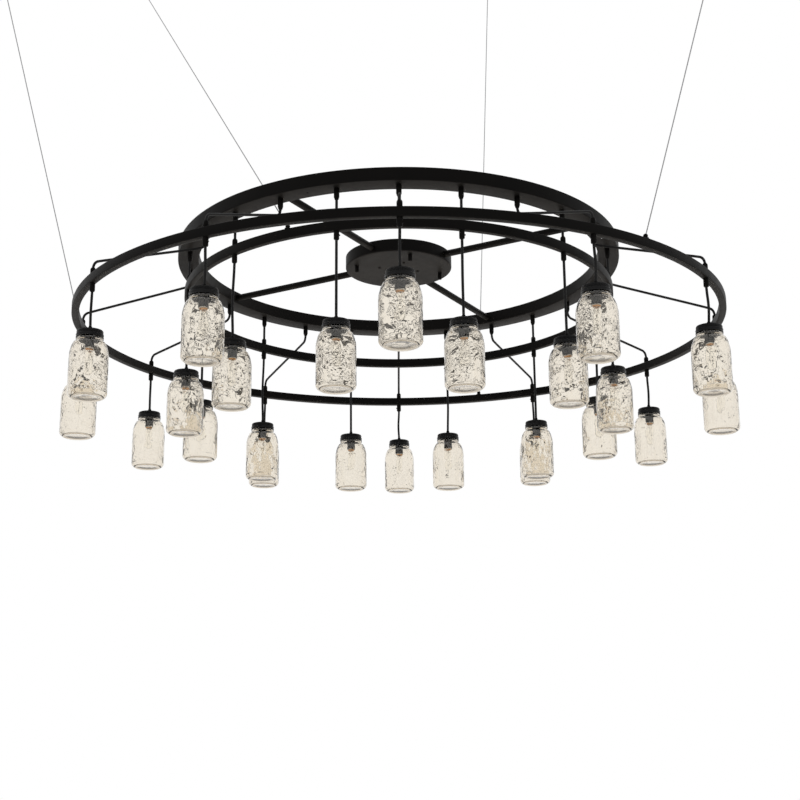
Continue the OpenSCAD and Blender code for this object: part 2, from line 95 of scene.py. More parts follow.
# How far each point of a jar takes part in the dimples of its glass
DIMPLED = "dimpled"

CABLE_D = 0.003
ANCHOR_D, ANCHOR_BASE_H, ANCHOR_CENTRE_H = 0.012, 0.003, 0.008
COUPLING_D, COUPLING_T, BALL_DROP = 0.026, 0.005, 0.004
COUPLING_STUD_D, COUPLING_STUD_LEN = 0.006, 0.014
BARREL_D, BARREL_LEN = 0.010, 0.034
# Each cable: on the outer ring or not, its angle there, and its coupling's top
CABLES = {
    "left": (True, -81.5, (-1.158, -0.180, 0.850)),
    "right": (True, 40.9, (0.738, -0.918, 0.380)),
    "back": (True, 162.3, (0.349, 0.870, 1.500)),
    "inner": (False, -27.8, (-0.927, 0.541, 1.300)),
}
# A sloping feed cord's bends: radius and height from the ceiling grip's mouth, then from the mouth
# of the grip that stands on the outer ring
FEED_FROM = ((0, -0.002), (0.0027, -0.012), (0.0085, -0.0184), (0.016, -0.0216))
FEED_TO = ((-0.016, 0.0216), (-0.0085, 0.0184), (-0.0027, 0.012), (0, 0.002))

ceiling_low, ceiling_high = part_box("ceiling_ring")
CEILING_RING_R = ceiling_high.x
CEILING_RING_H = -ceiling_low.z
HUB_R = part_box("hub_canopy")[1].x
CEILING_MOUTH_Z = -CEILING_RING_H - CEILING_GRIP_LEN - CEILING_GRIP_NOSE


def around(radius, angle, height):
    """A point at that radius, turned by that angle from the front."""
    turn = math.radians(angle)
    return Vector((radius * math.sin(turn), -radius * math.cos(turn), height))


def ring_place(outer):
    """What carries a point above a ring's top face to its place."""
    drop = OUTER_RING_DROP if outer else INNER_RING_DROP
    tilt = math.radians(OUTER_TILT) if outer else 0
    return Matrix.Translation((0, 0, -drop)) @ Matrix.Rotation(tilt, 4, "X")


def at_angle(angle, radius, height=0):
    """What carries a piece from the axis out to that radius, turned by that angle from the front."""
    turned_by = Matrix.Rotation(math.radians(angle), 4, "Z")
    return turned_by @ Matrix.Translation((0, -radius, height))


def pointing(start, towards):
    """What carries a piece on +Z to the start, pointing along towards."""
    turned_by = Vector(towards).to_track_quat("Z", "Y").to_matrix().to_4x4()
    return Matrix.Translation(start) @ turned_by


def lamp_angle(number):
    """Lamps 1 to 12 hang on the outer ring, 13 to 24 on the inner one, half a step round."""
    if number <= LAMPS_ON_RING:
        return LAMP_STEP * (number - 1)
    return LAMP_STEP * (number - LAMPS_ON_RING - 0.5)


def make_camera():
    data = bpy.data.cameras.new("photo_camera")
    data.sensor_width = SENSOR_WIDTH
    data.lens = SENSOR_WIDTH * FOCAL_PIXELS / PICTURE_SIDE
    camera = bpy.data.objects.new("photo_camera", data)
    bpy.context.scene.collection.objects.link(camera)
    bpy.context.scene.camera = camera
    turn, pitch, roll = (math.radians(a) for a in (CAMERA_TURN, CAMERA_PITCH, CAMERA_ROLL))
    ahead = Vector((math.sin(turn) * math.cos(pitch), math.cos(turn) * math.cos(pitch), math.sin(pitch)))
    level = ahead.cross((0, 0, 1)).normalized()
    upright = level.cross(ahead)
    right = math.cos(roll) * level + math.sin(roll) * upright
    top = math.cos(roll) * upright - math.sin(roll) * level
    turned_to = Matrix((right, top, -ahead)).transposed().to_4x4()
    camera.matrix_world = Matrix.Translation(CAMERA_PLACE) @ turned_to


# Modelling


def only(piece):
    """Leaves just this piece selected and active."""
    bpy.ops.object.select_all(action="DESELECT")
    piece.select_set(True)
    bpy.context.view_layer.objects.active = piece


def modified(piece, label, kind, **settings):
    """Adds a modifier with these settings and applies it."""
    modifier = piece.modifiers.new(label, kind)
    for setting, value in settings.items():
        setattr(modifier, setting, value)
    only(piece)
    bpy.ops.object.modifier_apply(modifier=modifier.name)


def soften(piece, width):
    """Rounds every edge sharper than 30 degrees."""
    settings = {"width": width, "segments": 2, "limit_method": "ANGLE", "angle_limit": math.radians(30)}
    modified(piece, "rounded edges", "BEVEL", **settings)


def smooth(piece, angle=32):
    """Shades the piece smooth, apart from edges sharper than the angle."""
    only(piece)
    bpy.ops.object.shade_smooth_by_angle(angle=math.radians(angle))


def end_edit():
    """Turns every face outwards and leaves edit mode."""
    bpy.ops.mesh.select_all(action="SELECT")
    bpy.ops.mesh.normals_make_consistent(inside=False)
    bpy.ops.object.mode_set(mode="OBJECT")


def turned(name, outline, sides, material, closed=False, rounded=0, angle=32):
    """A turned piece: a circle is drawn out from ring to ring along the outline's radii and heights.
    An open outline starts and ends on the axis, where the rings shrink to a point. Its edges are
    rounded by that much, and it is shaded smooth up to that angle unless the angle is 0."""
    point, alike = 0.00001, 0.000001
    rings = [(max(radius, point), height) for radius, height in outline]
    if closed:
        rings.append(rings[0])
    radius, height = rings[0]
    bpy.ops.mesh.primitive_circle_add(vertices=sides, radius=radius, location=(0, 0, height))
    piece = bpy.context.object
    piece.name = name
    bpy.ops.object.mode_set(mode="EDIT")
    bpy.ops.mesh.select_all(action="SELECT")
    for wider, further in rings[1:]:
        bpy.ops.mesh.extrude_region_move(TRANSFORM_OT_translate={"value": (0, 0, further - height)})
        share = wider / radius
        if abs(share - 1) > alike:
            bpy.ops.transform.resize(value=(share, share, 1), center_override=(0, 0, further))
        radius, height = wider, further
    bpy.ops.mesh.select_all(action="SELECT")
    bpy.ops.mesh.remove_doubles(threshold=3 * point)
    end_edit()
    bpy.ops.object.transform_apply(location=True, rotation=True, scale=True)
    piece.data.materials.append(material)
    if rounded:
        soften(piece, rounded)
    if angle:
        smooth(piece, angle)
    return piece


def carried(piece, place):
    """Carries the piece's own mesh to its place; the object stays at the origin."""
    piece.data.transform(place)
    return piece


def copied(piece, name, place):
    """A copy with its own mesh, carried to its place."""
    copy = piece.copy()
    copy.data = piece.data.copy()
    copy.name = name
    bpy.context.scene.collection.objects.link(copy)
    return carried(copy, place)


def joined(name, pieces):
    """Makes one piece of several."""
    bpy.ops.object.select_all(action="DESELECT")
    for piece in pieces:
        piece.select_set(True)
    bpy.context.view_layer.objects.active = pieces[0]
    bpy.ops.object.join()
    pieces[0].name = name
    return pieces[0]


def repeated(name, model, places):
    """One piece with a copy of the model at each place. The model itself goes."""
    copies = [copied(model, f"{name}_{k}", place) for k, place in enumerate(places)]
    bpy.data.objects.remove(model)
    return joined(name, copies)


def cut_away(piece, cutter):
    """Takes the cutter's shape out of the piece. The cutter itself goes."""
    modified(piece, "cut away", "BOOLEAN", operation="DIFFERENCE", solver="EXACT", object=cutter)
    bpy.data.objects.remove(cutter)


def fitted(piece, body, slot, *nodes):
    """Ties a finished piece to its body and hides the nodes that it stands for; its slot, the finish, is
    not used.
    """
    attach(piece, body)
    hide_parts(*nodes)


def fixed(piece, node):
    """Ties a piece of the black metalwork to the body that stays still."""
    fitted(piece, "root", "black_metal", node)


def tube(name, line, diameter, material, roundness=4):
    """A round cord along the line, as one open spline."""
    data = bpy.data.curves.new(name, "CURVE")
    data.dimensions = "3D"
    data.bevel_depth = diameter / 2
    data.bevel_resolution = roundness
    data.use_fill_caps = True
    spline = data.splines.new("POLY")
    spline.points.add(len(line) - 1)
    for point, place in zip(spline.points, line):
        point.co = (*place, 1)
    spline.use_smooth = True
    data.materials.append(material)
    cord = bpy.data.objects.new(name, data)
    bpy.context.scene.collection.objects.link(cord)
    return cord


def eased(route, steps):
    """The route with each corner rounded, from the middle of one stretch to the middle of the next."""
    line = [route[0]]
    for before, corner, after in zip(route, route[1:], route[2:]):
        start, end = (before + corner) / 2, (corner + after) / 2
        for k in range(0 if len(line) == 1 else 1, steps + 1):
            t = k / steps
            line.append(start * (1 - t) ** 2 + corner * 2 * t * (1 - t) + end * t * t)
    return line + [route[-1]]


# Finishes


class Finish:
    """A material with its shader, and short ways to add the nodes that most finishes share."""

    def __init__(self, name, **sockets):
        self.material = bpy.data.materials.new(name)
        self.material.use_nodes = True
        self.nodes = self.material.node_tree.nodes
        self.links = self.material.node_tree.links
        self.shader = self.nodes["Principled BSDF"]
        for socket, value in sockets.items():
            self.shader.inputs[socket.replace("_", " ")].default_value = value
        self.place = self.nodes.new("ShaderNodeTexCoord").outputs["Object"]

    def noise(self, scale, detail, stretch=None):
        node = self.nodes.new("ShaderNodeTexNoise")
        node.inputs["Scale"].default_value = scale
        node.inputs["Detail"].default_value = detail
        place = self.place
        if stretch:
            mapping = self.nodes.new("ShaderNodeMapping")
            mapping.inputs["Scale"].default_value = stretch
            self.links.new(place, mapping.inputs["Vector"])
            place = mapping.outputs["Vector"]
        self.links.new(place, node.inputs["Vector"])
        return node.outputs["Fac"]

    def cells(self, scale, smoothness):
        node = self.nodes.new("ShaderNodeTexVoronoi")
        node.feature = "SMOOTH_F1"
        node.inputs["Scale"].default_value = scale
        node.inputs["Smoothness"].default_value = smoothness
        self.links.new(self.place, node.inputs["Vector"])
        return node.outputs["Distance"]

    def ramp(self, factor, *stops):
        node = self.nodes.new("ShaderNodeValToRGB")
        for element, (position, colour) in zip(node.color_ramp.elements, stops):
            element.position = position
            element.color = (*colour, 1) if isinstance(colour, tuple) else (colour,) * 3 + (1,)
        self.links.new(factor, node.inputs["Fac"])
        return node.outputs["Color"]

    def product(self, first, second):
        node = self.nodes.new("ShaderNodeMath")
        node.operation = "MULTIPLY"
        self.links.new(first, node.inputs[0])
        self.links.new(second, node.inputs[1])
        return node.outputs["Value"]

    def spread(self, factor, low, high):
        node = self.nodes.new("ShaderNodeMapRange")
        node.inputs["To Min"].default_value = low
        node.inputs["To Max"].default_value = high
        self.links.new(factor, node.inputs["Value"])
        return node.outputs["Result"]

    def bump(self, height, distance, strength, under=None):
        node = self.nodes.new("ShaderNodeBump")
        node.inputs["Strength"].default_value = strength
        node.inputs["Distance"].default_value = distance
        self.links.new(height, node.inputs["Height"])
        if under:
            self.links.new(under, node.inputs["Normal"])
        self.links.new(node.outputs["Normal"], self.shader.inputs["Normal"])
        return node.outputs["Normal"]

    def drive(self, socket, source):
        self.links.new(source, self.shader.inputs[socket])


def clouded(name, dark, light, cloud, gloss, grain, **sockets):
    """A finish that clouds from a dark to a light colour, with uneven gloss and a fine grain.
    cloud: scale, detail and the noise values where it is dark and light; gloss: scale, detail, least
    and most roughness; grain: scale, detail, depth and strength."""
    finish = Finish(name, **sockets)
    scale, detail, low, high = cloud
    finish.drive("Base Color", finish.ramp(finish.noise(scale, detail), (low, dark), (high, light)))
    scale, detail, least, most = gloss
    finish.drive("Roughness", finish.spread(finish.noise(scale, detail), least, most))
    scale, detail, depth, strength = grain
    finish.bump(finish.noise(scale, detail), depth, strength)
    return finish.material


def black_powder_coat():
    """Baked black powder coat on steel, with its fine orange peel and a faint dusty cloudiness."""
    return clouded(
        "black powder coat",
        dark=(0.0060, 0.0056, 0.0052),
        light=(0.0090, 0.0082, 0.0075),
        cloud=(9, 4, 0.3, 0.7),
        gloss=(40, 3, 0.34, 0.5),
        grain=(900, 2, 0.00012, 0.5),
        Specular_IOR_Level=0.05,
    )


def black_lid_lacquer():
    """Lacquer on the thin steel of a lid and its screw band: glossier than the powder coat."""
    return clouded(
        "black lid lacquer",
        dark=(0.006, 0.0062, 0.0066),
        light=(0.012, 0.012, 0.0125),
        cloud=(60, 4, 0.35, 0.7),
        gloss=(150, 3, 0.2, 0.36),
        grain=(1500, 2, 0.00006, 0.4),
        Specular_IOR_Level=0.16,
    )


def black_moulding():
    """Moulded black phenolic of the lampholders, a little grey and fine-grained."""
    return clouded(
        "black phenolic moulding",
        dark=(0.014, 0.0148, 0.016),
        light=(0.026, 0.0275, 0.03),
        cloud=(500, 5, 0.35, 0.65),
        gloss=(300, 3, 0.36, 0.5),
        grain=(2200, 2, 0.00005, 0.4),
        Specular_IOR_Level=0.12,
    )


def black_cord_jacket():
    """Soft black jacket of the lamp cord, faintly rippled by the wires that are twisted in it."""
    return clouded(
        "black cord jacket",
        dark=(0.006, 0.006, 0.0062),
        light=(0.013, 0.0127, 0.0125),
        cloud=(120, 4, 0.3, 0.75),
        gloss=(260, 3, 0.42, 0.6),
        grain=(320, 2, 0.0002, 0.5),
        Specular_IOR_Level=0.2,
    )


def galvanised_wire():
    """Bright galvanised wire rope."""
    return clouded(
        "galvanised wire rope",
        dark=(0.30, 0.30, 0.31),
        light=(0.52, 0.52, 0.53),
        cloud=(700, 3, 0.3, 0.75),
        gloss=(400, 3, 0.32, 0.5),
        grain=(1800, 2, 0.00008, 0.4),
        Metallic=0.9,
    )


def nickel_plate():
    """Satin nickel plate on the turned cable fittings."""
    nickel = Finish("satin nickel plate", Metallic=1.0)
    dark, light = (0.42, 0.41, 0.39), (0.56, 0.55, 0.52)
    nickel.drive("Base Color", nickel.ramp(nickel.noise(90, 4), (0.3, dark), (0.75, light)))
    nickel.drive("Roughness", nickel.spread(nickel.noise(260, 3, stretch=(1, 1, 12)), 0.24, 0.4))
    nickel.bump(nickel.noise(900, 2, stretch=(1, 1, 10)), 0.00004, 0.5)
    return nickel.material


def zinc_plate():
    """Bright zinc on the hidden backplate, with the cloudy grain of plated sheet."""
    zinc = Finish("zinc plate", Metallic=1.0)
    dark, light = (0.34, 0.35, 0.36), (0.5, 0.51, 0.52)
    zinc.drive("Base Color", zinc.ramp(zinc.cells(70, 0.6), (0.1, dark), (0.6, light)))
    zinc.drive("Roughness", zinc.spread(zinc.noise(140, 4), 0.3, 0.5))
    zinc.bump(zinc.noise(600, 3), 0.00005, 0.4)
    return zinc.material


def lamp_brass():
    """Copper-coloured brass of the bulb's screw cap."""
    return clouded(
        "bulb cap brass",
        dark=(0.50, 0.24, 0.09),
        light=(0.72, 0.42, 0.19),
        cloud=(300, 4, 0.3, 0.7),
        gloss=(500, 3, 0.28, 0.45),
        grain=(1200, 2, 0.00005, 0.4),
        Metallic=1.0,
    )


def glazed_rim():
    """White glazed insulator in the lampholder's mouth."""
    return clouded(
        "white glazed insulator",
        dark=(0.76, 0.72, 0.64),
        light=(0.86, 0.83, 0.77),
        cloud=(200, 3, 0.3, 0.7),
        gloss=(300, 2, 0.12, 0.25),
        grain=(800, 2, 0.00005, 0.4),
        Specular_IOR_Level=0.6,
    )


def filament_wire():
    """Dull tungsten and its support wires."""
    return clouded(
        "filament wire",
        dark=(0.10, 0.09, 0.08),
        light=(0.22, 0.20, 0.18),
        cloud=(900, 3, 0.3, 0.7),
        gloss=(700, 2, 0.4, 0.6),
        grain=(3000, 2, 0.00003, 0.4),
        Metallic=0.8,
    )


def pressed_jar_glass():
    """Pressed jar glass: ivory, brown where it is thick, a little wavy and dimpled in patches."""
    ivory = (0.978, 0.960, 0.924, 1)
    glass = Finish("pressed jar glass", Transmission_Weight=1.0, IOR=1.5, Base_Color=ivory)
    patches = glass.ramp(glass.noise(24, 2), (0.46, 0.0), (0.66, 1.0))
    dimples = glass.ramp(glass.cells(135, 0.1), (0.05, 0.0), (0.30, 1.0))
    wall = glass.nodes.new("ShaderNodeAttribute")
    wall.attribute_name = DIMPLED
    crinkle = glass.product(glass.product(dimples, patches), wall.outputs["Fac"])
    glass.drive("Roughness", glass.spread(glass.noise(120, 3), 0.0, 0.008))
    wavy = glass.bump(glass.noise(24, 2), 0.0005, 0.25)
    glass.bump(crinkle, 0.0022, 1.0, wavy)
    tint = glass.nodes.new("ShaderNodeVolumeAbsorption")
    tint.inputs["Color"].default_value = (0.52, 0.36, 0.10, 1)
    tint.inputs["Density"].default_value = 44
    glass.links.new(tint.outputs["Volume"], glass.nodes["Material Output"].inputs["Volume"])
    return glass.material


def clear_bulb_glass():
    """Thin blown glass of the bulb."""
    glass = Finish("clear bulb glass", Transmission_Weight=1.0, IOR=1.48, Base_Color=(1, 0.995, 0.98, 1))
    glass.drive("Roughness", glass.spread(glass.noise(200, 2), 0.0, 0.03))
    glass.bump(glass.noise(60, 2), 0.0004, 0.4)
    return glass.material


# Cords first, as they set how far the object spreads


def feed_cords(jacket):
    """Twelve sloping cords out to the outer ring, and twelve short upright ones to the inner ring."""
    top = -CEILING_RING_H / 2
    place = ring_place(True)
    for number in range(1, LAMPS_ON_RING + 1):
        angle = lamp_angle(number)
        route = [around(CEILING_MID_R, angle, top), around(CEILING_MID_R, angle, CEILING_MOUTH_Z)]
        route += [around(CEILING_MID_R + out, angle, CEILING_MOUTH_Z + up) for out, up in FEED_FROM]
        route += [place @ around(OUTER_MID_R + out, angle, TOP_GRIP_LEN + up) for out, up in FEED_TO]
        route += [
            place @ around(OUTER_MID_R, angle, TOP_GRIP_LEN),
            place @ around(OUTER_MID_R, angle, -OUTER_RING_H - LOW_GRIP_LEN + CORD_STOP),
        ]
        line = eased(route, 3)
        cord = tube(f"feed_cord_{number:02d}", line, CORD_D, jacket)
        fitted(cord, "root", "black_cord", "feed_cords")
    shorts = []
    for number in range(LAMPS_ON_RING + 1, 2 * LAMPS_ON_RING + 1):
        angle = lamp_angle(number)
        low = -INNER_RING_DROP - INNER_RING_H - LOW_GRIP_LEN + CORD_STOP
        heights = [top, CEILING_MOUTH_Z, -INNER_RING_DROP + TOP_GRIP_LEN, low]
        line = [around(CEILING_MID_R, angle, height) for height in heights]
        shorts.append(tube(f"short_feed_{number}", line, CORD_D, jacket))
    short = joined("short_feed_cords", shorts)
    only(short)
    bpy.ops.object.convert(target="MESH")
    fitted(bpy.context.object, "root", "black_cord", "feed_cords")


def wire_rope(name, start, end, material):
    """Six strands laid round each other: a fluted rod is drawn out in short steps and twisted."""
    lay, step = 0.024, 0.0024
    strands, groove, join = 6, 0.76, 0.0002
    length = (end - start).length
    bpy.ops.mesh.primitive_circle_add(vertices=2 * strands, radius=CABLE_D / 2)
    rope = bpy.context.object
    rope.name = name
    bpy.ops.object.mode_set(mode="EDIT")
    bpy.ops.mesh.select_all(action="SELECT")
    bpy.ops.mesh.select_nth(skip=1, nth=1)
    bpy.ops.transform.resize(value=(groove, groove, 1), center_override=(0, 0, 0))
    bpy.ops.mesh.select_all(action="SELECT")
    bpy.ops.mesh.extrude_region_move(TRANSFORM_OT_translate={"value": (0, 0, step)})
    end_edit()
    count = int(length / step)
    modified(
        rope,
        "drawn out",
        "ARRAY",
        fit_type="FIXED_COUNT",
        count=count,
        use_relative_offset=False,
        use_constant_offset=True,
        constant_offset_displace=(0, 0, length / count),
        use_merge_vertices=True,
        merge_threshold=join,
    )
    twist = 2 * math.pi * length / lay
    modified(rope, "laid", "SIMPLE_DEFORM", deform_method="TWIST", deform_axis="Z", angle=twist)
    bpy.ops.object.mode_set(mode="EDIT")
    bpy.ops.mesh.select_all(action="DESELECT")
    bpy.ops.mesh.select_non_manifold()
    bpy.ops.mesh.fill_holes(sides=0)
    end_edit()
    rope.data.materials.append(material)
    smooth(rope, 70)
    return carried(rope, pointing(start, end - start))


def suspension_cables(wire, nickel, coat):
    """Four taut cables, each from its anchor on a ring up to its ceiling coupling."""
    anchor, coupling_top, barrel = cable_anchor(coat), coupling_plate(nickel), cable_barrel(nickel)
    anchors = []
    for name, (outer, angle, top) in CABLES.items():
        radius = OUTER_MID_R if outer else INNER_MID_R
        held = ring_place(outer) @ around(radius, angle, ANCHOR_CENTRE_H)
        ball = Vector(top) - Vector((0, 0, COUPLING_T + BALL_DROP))
        way = (ball - held).normalized()
        end = ball - BARREL_LEN / 2 * way
        rope = wire_rope(f"suspension_cable_{name}", held, end, wire)
        fitted(rope, "root", "steel_cable", "suspension_cables")
        plate = copied(coupling_top, "plate", Matrix.Translation(top))
        sleeve = copied(barrel, "sleeve", pointing(ball, -way))
        coupling = joined(f"ceiling_coupling_{name}", [plate, sleeve])
        fitted(coupling, "root", "steel_cable", "cable_fittings")
        anchors.append(copied(anchor, "anchor", ring_place(outer) @ at_angle(angle, radius)))
    fixed(joined("cable_anchors", anchors), "cable_fittings")
    for model in (anchor, coupling_top, barrel):
        bpy.data.objects.remove(model)


def arc(centre_r, centre_z, radius, start, end, steps):
    """Outline points round a centre, from one angle to another; 0 points outwards and 90 upwards."""
    turns = [math.radians(start + (end - start) * k / steps) for k in range(steps + 1)]
    return [(centre_r + radius * math.cos(t), centre_z + radius * math.sin(t)) for t in turns]


def cable_anchor(coat):
    """Foot, neck and ball that a cable is crimped into, drawn with z = 0 on the ring's top."""
    foot_r, ball_r = ANCHOR_D / 2 + 0.002, ANCHOR_D / 2
    outline = [(0, GAP), (foot_r, GAP), (foot_r, ANCHOR_BASE_H), (ball_r - 0.001, ANCHOR_BASE_H)]
    outline += [(ball_r - 0.001, ANCHOR_CENTRE_H - 0.002)]
    outline += arc(0, ANCHOR_CENTRE_H, ball_r, -16, 78, 9)
    outline += [(0, ANCHOR_CENTRE_H + ball_r)]
    return turned("anchor_model", outline, 32, coat, rounded=0.0004)


def coupling_plate(nickel):
    """Round ceiling plate of a coupling with its threaded stud, drawn with z = 0 on its top."""
    stud_r, plate_r = COUPLING_STUD_D / 2, COUPLING_D / 2
    turns, pitch = 13, 0.001
    outline = [(0, -COUPLING_T), (plate_r - 0.0015, -COUPLING_T)]
    outline += [(plate_r, -COUPLING_T + 0.0015), (plate_r, 0)]
    outline += [(stud_r - 0.0004, 0)]
    for k in range(turns):
        outline += [(stud_r, (k + 0.5) * pitch), (stud_r - 0.0004, (k + 1) * pitch)]
    outline += [(stud_r - 0.0008, COUPLING_STUD_LEN), (0, COUPLING_STUD_LEN)]
    return turned("coupling_model", outline, 40, nickel)


def cable_barrel(nickel):
    """Barrel and ball that swivel in the coupling, drawn from the ball's centre along +Z."""
    ball_r, barrel_r = BARREL_D / 2 + 0.001, BARREL_D / 2
    outline = [(0, -ball_r)] + arc(0, 0, ball_r, -80, 38, 9)
    outline += [(barrel_r - 0.0012, 0.0050), (barrel_r, 0.0062)]
    for k in range(6):
        z = 0.009 + 0.0024 * k
        outline += [(barrel_r, z), (barrel_r - 0.0004, z + 0.0005), (barrel_r, z + 0.001)]
    bore = CABLE_D / 2 + GAP
    outline += [(barrel_r, BARREL_LEN - 0.004), (CABLE_D / 2 + 0.001, BARREL_LEN), (bore, BARREL_LEN)]
    outline += [(bore, BARREL_LEN / 2), (0, BARREL_LEN / 2)]
    return turned("barrel_model", outline, 32, nickel)


def drop_cord(number, pivot, reach, jacket):
    """The cord that a lamp hangs by, with the slight bow that a new cord keeps."""
    count = 16
    most, bow_step, turn_step = 0.0032, 2.4, 1.9
    bow = most * math.sin(bow_step * number)
    lean = Matrix.Rotation(turn_step * number, 3, "Z") @ Vector((bow, 0, 0))
    # The cord ends just above the pivot, where it turns clear of the grip's bore
    start = pivot + Vector((0, 0, CORD_D / 8))
    line = []
    for k in range(count + 1):
        t = k / count
        line.append(start - Vector((0, 0, reach * t)) + lean * math.sin(math.pi * t) ** 2)
    cord = tube(f"drop_cord_{number:02d}", line, CORD_D, jacket)
    fitted(cord, f"pendant_{number:02d}", "black_cord", f"lamp_{number:02d}")


# Ceiling ring, hub and lamp rings


def rounded_box(left, low, right, high, radius):
    """Closed outline of a rectangle with round corners."""
    steps = 3
    corners = [
        (right - radius, low + radius, -90, 0),
        (right - radius, high - radius, 0, 90),
        (left + radius, high - radius, 90, 180),
        (left + radius, low + radius, 180, 270),
    ]
    outline = []
    for centre_r, centre_z, start, end in corners:
        outline += arc(centre_r, centre_z, radius, start, end, steps)
    return outline


def drilled(piece, places, diameter, depth):
    """Bores a hole through the piece at each place."""
    bpy.ops.mesh.primitive_cylinder_add(vertices=24, radius=diameter / 2, depth=depth)
    drill = repeated("drill", bpy.context.object, places)
    cut_away(piece, drill)


def by_four(first, radius, height):
    return [at_angle(first + 90 * k, radius, height) for k in range(4)]


def ceiling_ring(coat):
    """Pressed channel, open towards the ceiling, with four screw holes in its flat underside."""
    outer, inner, low = CEILING_RING_R, CEILING_RING_R - CEILING_RING_W, -CEILING_RING_H
    fold = 0.0028
    inside = fold - PAN_WALL
    outline = [(outer, 0)] + arc(outer - fold, low + fold, fold, 0, -90, 4)
    outline += arc(inner + fold, low + fold, fold, -90, -180, 4)
    outline += [(inner, 0), (inner + PAN_WALL, 0)]
    outline += arc(inner + fold, low + fold, inside, 180, 270, 3)
    outline += arc(outer - fold, low + fold, inside, -90, 0, 3)
    outline += [(outer - PAN_WALL, 0)]
    ring = turned("ceiling_channel", outline, 256, coat, closed=True, angle=0)
    drilled(ring, by_four(RING_SCREW_FROM, CEILING_MID_R, low), RING_SCREW_HOLE_D, 0.01)
    smooth(ring)
    fixed(ring, "ceiling_ring")


def hub(coat):
    """Round canopy with its folded edge, and the fasteners under it."""
    low, fold = -CEILING_RING_H, 0.004
    inside = fold - PAN_WALL
    # A ring near the edge keeps the fold's smooth shading off the flat face
    flat_r = 0.14
    outline = [(0, low), (flat_r, low)] + arc(HUB_R - fold, low + fold, fold, -90, 0, 5)
    outline += [(HUB_R, 0), (HUB_R - PAN_WALL, 0)]
    outline += arc(HUB_R - fold, low + fold, inside, 0, -90, 4)
    outline += [(flat_r, low + PAN_WALL), (0, low + PAN_WALL)]
    canopy = turned("canopy_pan", outline, 128, coat)
    fixed(canopy, "hub_canopy")
    nuts = repeated("canopy_cap_nuts", cap_nut(coat), by_four(NUT_FROM, NUT_CIRCLE_R, low))
    fixed(nuts, "canopy_fasteners")
    screws = repeated("canopy_screws", pan_head_screw(coat), by_four(NUT_FROM, SMALL_SCREW_CIRCLE_R, low))
    fixed(screws, "canopy_fasteners")


def cap_nut(coat):
    """Long closed nut with a collar, a waist line and a round end with a driver slot."""
    r = NUT_D / 2
    bore = [(0, -NUT_LEN / 2), (STUD_D / 2 + GAP, -NUT_LEN / 2)]
    outline = [(STUD_D / 2 + GAP, -GAP), (r, -GAP), (r, -0.0022), (r - 0.0008, -0.0027)]
    outline += [(r - 0.0008, -0.0034), (r - 0.0004, -0.0038)]
    outline += arc(r - 0.0034, -NUT_LEN + 0.003, 0.003, 0, -78, 5)
    outline += [(0, -NUT_LEN)]
    nut = turned("nut_model", bore + outline, 32, coat, angle=0)
    slotted(nut, NUT_D * 0.7, 0.0012, -NUT_LEN)
    smooth(nut)
    return nut


def slotted(piece, length, width, end):
    """Cuts a driver slot into the end face."""
    depth = 0.0012
    bpy.ops.mesh.primitive_cube_add(size=1, location=(0, 0, end))
    cutter = bpy.context.object
    cutter.scale = (length, width, 2 * depth)
    bpy.ops.object.transform_apply(location=True, rotation=True, scale=True)
    cut_away(piece, cutter)


def pan_head_screw(coat):
    r, shank_r = SMALL_HEAD_D / 2, 0.002
    outline = [(0, 0.010), (shank_r - 0.0004, 0.010), (shank_r, 0.009), (shank_r, -GAP), (r, -GAP)]
    outline += arc(r - 0.0024, -GAP - 0.0004, 0.0024, 0, -80, 5)
    outline += [(0, -SMALL_HEAD_H)]
    screw = turned("screw_model", outline, 28, coat, angle=0)
    slotted(screw, 0.0056, 0.001, -SMALL_HEAD_H)
    smooth(screw)
    return screw


def spokes(coat):
    """Four tubes between the canopy and the ceiling ring."""
    inner_end = HUB_R - SPOKE_REACH
    outer_end = CEILING_RING_R - CEILING_RING_W + SPOKE_REACH
    reach = outer_end - inner_end
    r = SPOKE_D / 2
    outline = [(r - SPOKE_WALL, 0), (r, 0), (r, reach), (r - SPOKE_WALL, reach)]
    spoke = turned("spoke_model", outline, 48, coat, closed=True, rounded=0.0003)
    carried(spoke, Matrix.Rotation(math.radians(90), 4, "X"))
    places = by_four(SPOKE_FROM, inner_end, -CEILING_RING_H / 2)
    fixed(repeated("spoke_tubes", spoke, places), "spokes")


def lamp_ring(name, node, outer, radius, width, height, coat):
    """Rectangular tube rolled to a ring, with the soft corners of drawn tube."""
    outline = rounded_box(radius - width / 2, -height, radius + width / 2, 0, 0.0022)
    ring = turned(name, outline, 288, coat, closed=True)
    carried(ring, ring_place(outer))
    fixed(ring, node)


